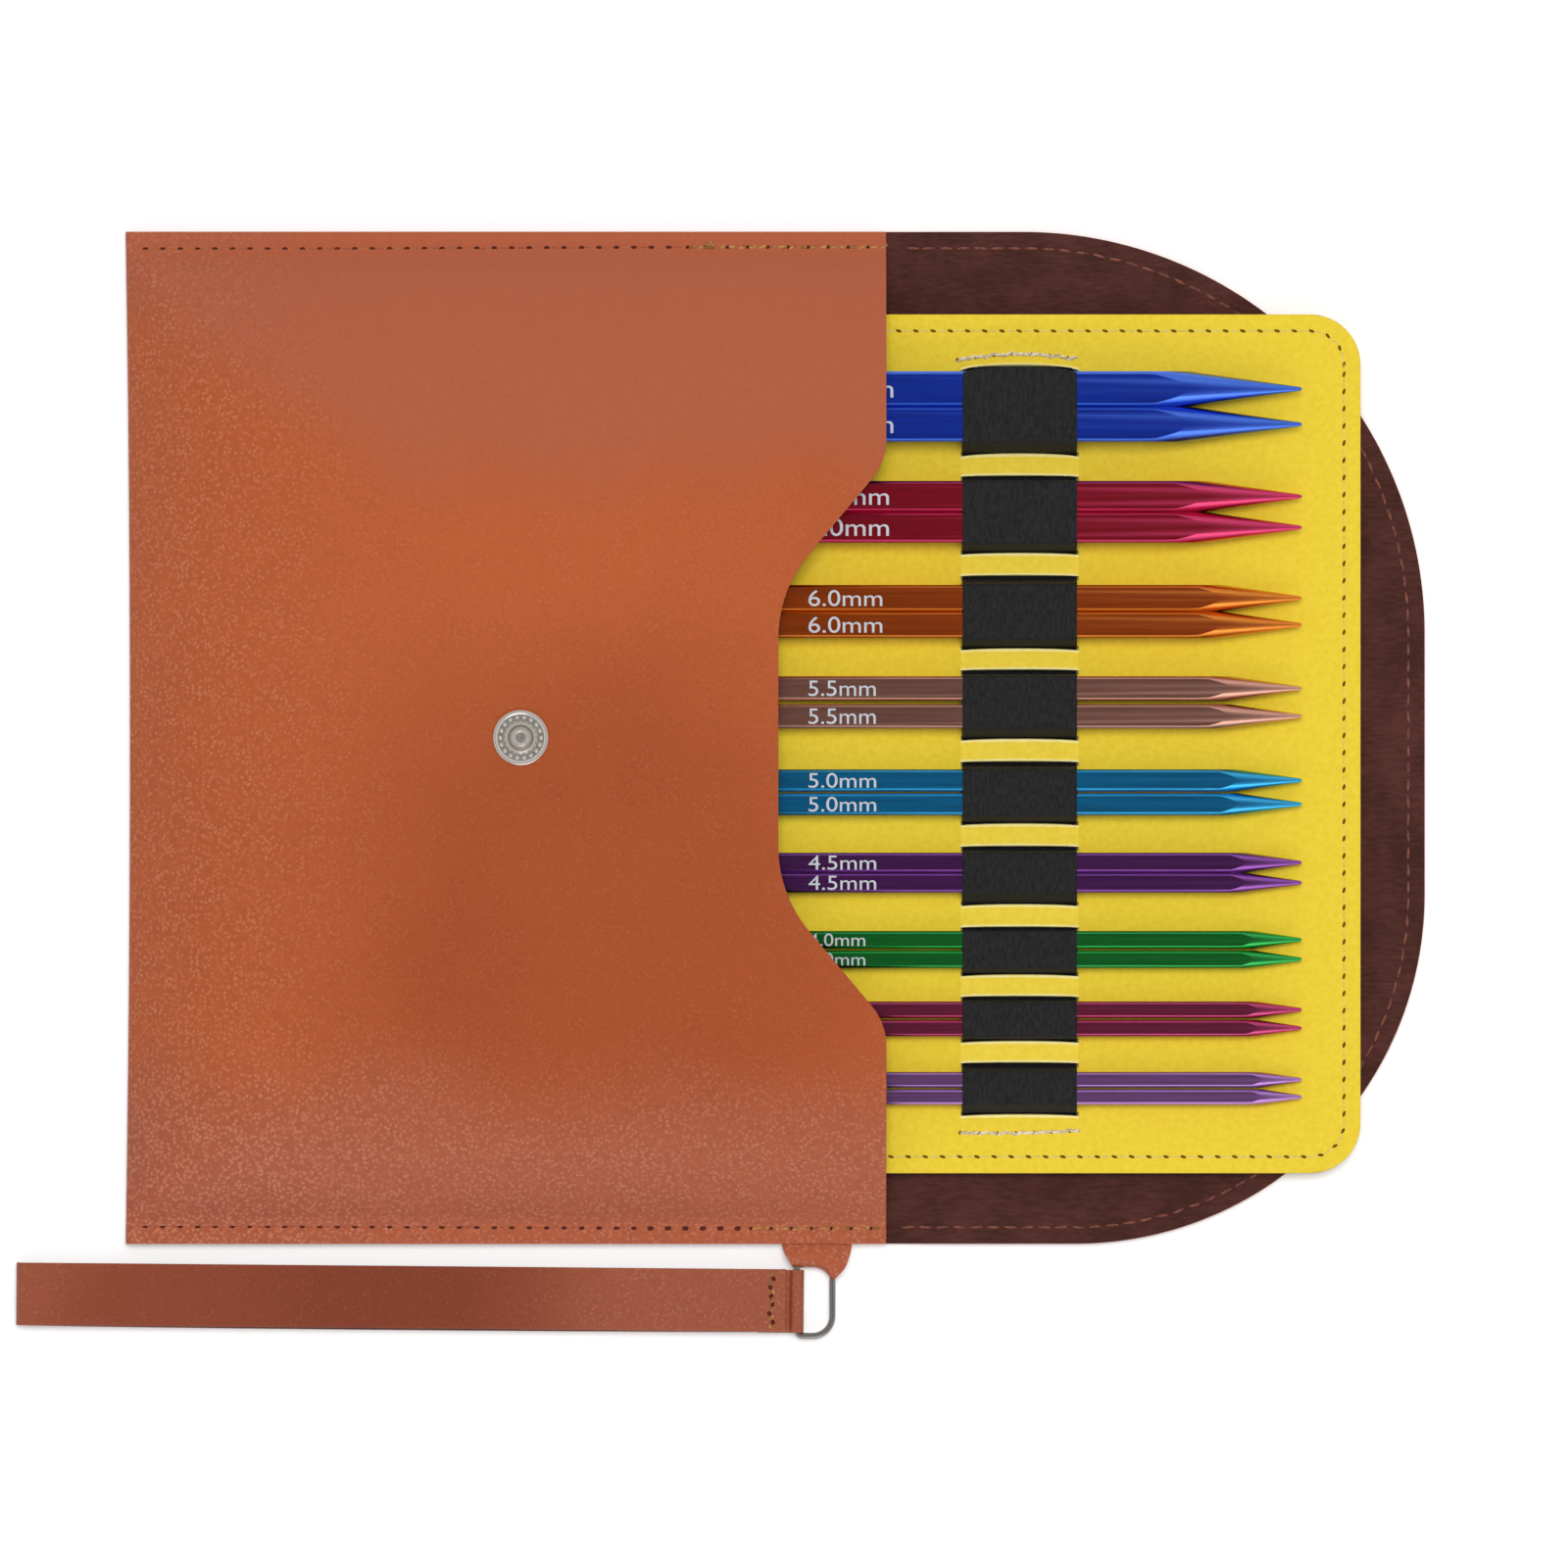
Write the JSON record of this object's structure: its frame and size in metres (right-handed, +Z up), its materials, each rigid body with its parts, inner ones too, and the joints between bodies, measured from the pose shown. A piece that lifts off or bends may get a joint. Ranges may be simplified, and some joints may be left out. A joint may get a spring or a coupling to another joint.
{
  "type": "knitting needle case",
  "caption": "Leather pouch with a snap flap and wrist strap, holding a slide-out insert board with an elastic band that grips pairs of square knitting needles.",
  "frame": {"origin": "centre of the back panel's outer face, on the surface that the case lies on", "axes": "+X from the folded edge through the mouth to the flap's end, +Y to the seam without the strap, +Z up through the front panel"},
  "size_m": [0.323, 0.2538, 0.0203],
  "materials": {
    "pouch_leather": "pebbled tan faux leather",
    "strap_leather": "smooth tan faux leather",
    "insert_leather": "yellow faux leather",
    "lining_cloth": "dark brown napped cloth",
    "elastic_weave": "black woven elastic",
    "card_board": "grey-brown stiff card",
    "snap_metal": "nickel plate",
    "ring_metal": "dark nickel plated wire",
    "spring_steel": "spring wire",
    "screw_metal": "turned steel",
    "needle_metal_8_0": "colour anodised",
    "needle_metal_7_0": "colour anodised",
    "needle_metal_6_0": "colour anodised",
    "needle_metal_5_5": "colour anodised",
    "needle_metal_5_0": "colour anodised",
    "needle_metal_4_5": "colour anodised",
    "needle_metal_4_0": "colour anodised",
    "needle_metal_3_75": "colour anodised",
    "needle_metal_3_5": "colour anodised"
  },
  "bodies": {
    "pouch": {"back_panel": "pouch_leather", "back_lining": "lining_cloth", "front_panel": "pouch_leather", "front_lining": "lining_cloth", "snap_stud": "snap_metal", "snap_backing": "snap_metal", "ring_tab": "pouch_leather"},
    "flap": {"flap_leather": "pouch_leather", "flap_lining": "lining_cloth", "snap_cap": "snap_metal", "snap_socket": "snap_metal", "snap_spring": "spring_steel"},
    "insert": {"insert_back": "insert_leather", "insert_core": "card_board", "insert_front": "insert_leather", "elastic_band": "elastic_weave"},
    "ring": {"d_ring": "ring_metal"},
    "strap": {"wrist_strap": "strap_leather", "strap_lining": "lining_cloth", "strap_loop": "strap_leather"},
    "needle_8_0_upper_set": {"needle_8_0_upper": "needle_metal_8_0", "screw_end_8_0_upper": "screw_metal"},
    "needle_8_0_lower_set": {"needle_8_0_lower": "needle_metal_8_0", "screw_end_8_0_lower": "screw_metal"},
    "needle_7_0_upper_set": {"needle_7_0_upper": "needle_metal_7_0", "screw_end_7_0_upper": "screw_metal"},
    "needle_7_0_lower_set": {"needle_7_0_lower": "needle_metal_7_0", "screw_end_7_0_lower": "screw_metal"},
    "needle_6_0_upper_set": {"needle_6_0_upper": "needle_metal_6_0", "screw_end_6_0_upper": "screw_metal"},
    "needle_6_0_lower_set": {"needle_6_0_lower": "needle_metal_6_0", "screw_end_6_0_lower": "screw_metal"},
    "needle_5_5_upper_set": {"needle_5_5_upper": "needle_metal_5_5", "screw_end_5_5_upper": "screw_metal"},
    "needle_5_5_lower_set": {"needle_5_5_lower": "needle_metal_5_5", "screw_end_5_5_lower": "screw_metal"},
    "needle_5_0_upper_set": {"needle_5_0_upper": "needle_metal_5_0", "screw_end_5_0_upper": "screw_metal"},
    "needle_5_0_lower_set": {"needle_5_0_lower": "needle_metal_5_0", "screw_end_5_0_lower": "screw_metal"},
    "needle_4_5_upper_set": {"needle_4_5_upper": "needle_metal_4_5", "screw_end_4_5_upper": "screw_metal"},
    "needle_4_5_lower_set": {"needle_4_5_lower": "needle_metal_4_5", "screw_end_4_5_lower": "screw_metal"},
    "needle_4_0_upper_set": {"needle_4_0_upper": "needle_metal_4_0", "screw_end_4_0_upper": "screw_metal"},
    "needle_4_0_lower_set": {"needle_4_0_lower": "needle_metal_4_0", "screw_end_4_0_lower": "screw_metal"},
    "needle_3_75_upper_set": {"needle_3_75_upper": "needle_metal_3_75", "screw_end_3_75_upper": "screw_metal"},
    "needle_3_75_lower_set": {"needle_3_75_lower": "needle_metal_3_75", "screw_end_3_75_lower": "screw_metal"},
    "needle_3_5_upper_set": {"needle_3_5_upper": "needle_metal_3_5", "screw_end_3_5_upper": "screw_metal"},
    "needle_3_5_lower_set": {"needle_3_5_lower": "needle_metal_3_5", "screw_end_3_5_lower": "screw_metal"}
  },
  "joints": [
    {"name": "insert_slide", "type": "slide", "parent": "pouch", "child": "insert", "axis": [1, 0, 0], "range_m": [-0.109, 0.056]},
    {"name": "flap_fold", "type": "hinge", "parent": "pouch", "child": "flap", "pos_m": [0.08715, 0, -0.0003], "axis": [0, 1, 0], "range_deg": [0, 178]},
    {"name": "ring_swivel", "type": "hinge", "parent": "pouch", "child": "ring", "pos_m": [0.07, -0.1193, 0.0021], "axis": [1, 0, 0], "range_deg": [-90, 90]},
    {"name": "strap_swing", "type": "hinge", "parent": "ring", "child": "strap", "pos_m": [0.0665, -0.1291, 0.0021], "axis": [0, 1, 0], "range_deg": [-150, 150]},
    {"name": "needle_8_0_upper_slide", "type": "slide", "parent": "insert", "child": "needle_8_0_upper_set", "axis": [1, 0, 0], "range_m": [0, 0.088]},
    {"name": "needle_8_0_lower_slide", "type": "slide", "parent": "insert", "child": "needle_8_0_lower_set", "axis": [1, 0, 0], "range_m": [0, 0.088]},
    {"name": "needle_7_0_upper_slide", "type": "slide", "parent": "insert", "child": "needle_7_0_upper_set", "axis": [1, 0, 0], "range_m": [0, 0.088]},
    {"name": "needle_7_0_lower_slide", "type": "slide", "parent": "insert", "child": "needle_7_0_lower_set", "axis": [1, 0, 0], "range_m": [0, 0.088]},
    {"name": "needle_6_0_upper_slide", "type": "slide", "parent": "insert", "child": "needle_6_0_upper_set", "axis": [1, 0, 0], "range_m": [0, 0.088]},
    {"name": "needle_6_0_lower_slide", "type": "slide", "parent": "insert", "child": "needle_6_0_lower_set", "axis": [1, 0, 0], "range_m": [0, 0.088]},
    {"name": "needle_5_5_upper_slide", "type": "slide", "parent": "insert", "child": "needle_5_5_upper_set", "axis": [1, 0, 0], "range_m": [0, 0.088]},
    {"name": "needle_5_5_lower_slide", "type": "slide", "parent": "insert", "child": "needle_5_5_lower_set", "axis": [1, 0, 0], "range_m": [0, 0.088]},
    {"name": "needle_5_0_upper_slide", "type": "slide", "parent": "insert", "child": "needle_5_0_upper_set", "axis": [1, 0, 0], "range_m": [0, 0.088]},
    {"name": "needle_5_0_lower_slide", "type": "slide", "parent": "insert", "child": "needle_5_0_lower_set", "axis": [1, 0, 0], "range_m": [0, 0.088]},
    {"name": "needle_4_5_upper_slide", "type": "slide", "parent": "insert", "child": "needle_4_5_upper_set", "axis": [1, 0, 0], "range_m": [0, 0.088]},
    {"name": "needle_4_5_lower_slide", "type": "slide", "parent": "insert", "child": "needle_4_5_lower_set", "axis": [1, 0, 0], "range_m": [0, 0.088]},
    {"name": "needle_4_0_upper_slide", "type": "slide", "parent": "insert", "child": "needle_4_0_upper_set", "axis": [1, 0, 0], "range_m": [0, 0.088]},
    {"name": "needle_4_0_lower_slide", "type": "slide", "parent": "insert", "child": "needle_4_0_lower_set", "axis": [1, 0, 0], "range_m": [0, 0.088]},
    {"name": "needle_3_75_upper_slide", "type": "slide", "parent": "insert", "child": "needle_3_75_upper_set", "axis": [1, 0, 0], "range_m": [0, 0.088]},
    {"name": "needle_3_75_lower_slide", "type": "slide", "parent": "insert", "child": "needle_3_75_lower_set", "axis": [1, 0, 0], "range_m": [0, 0.088]},
    {"name": "needle_3_5_upper_slide", "type": "slide", "parent": "insert", "child": "needle_3_5_upper_set", "axis": [1, 0, 0], "range_m": [0, 0.088]},
    {"name": "needle_3_5_lower_slide", "type": "slide", "parent": "insert", "child": "needle_3_5_lower_set", "axis": [1, 0, 0], "range_m": [0, 0.088]}
  ]
}
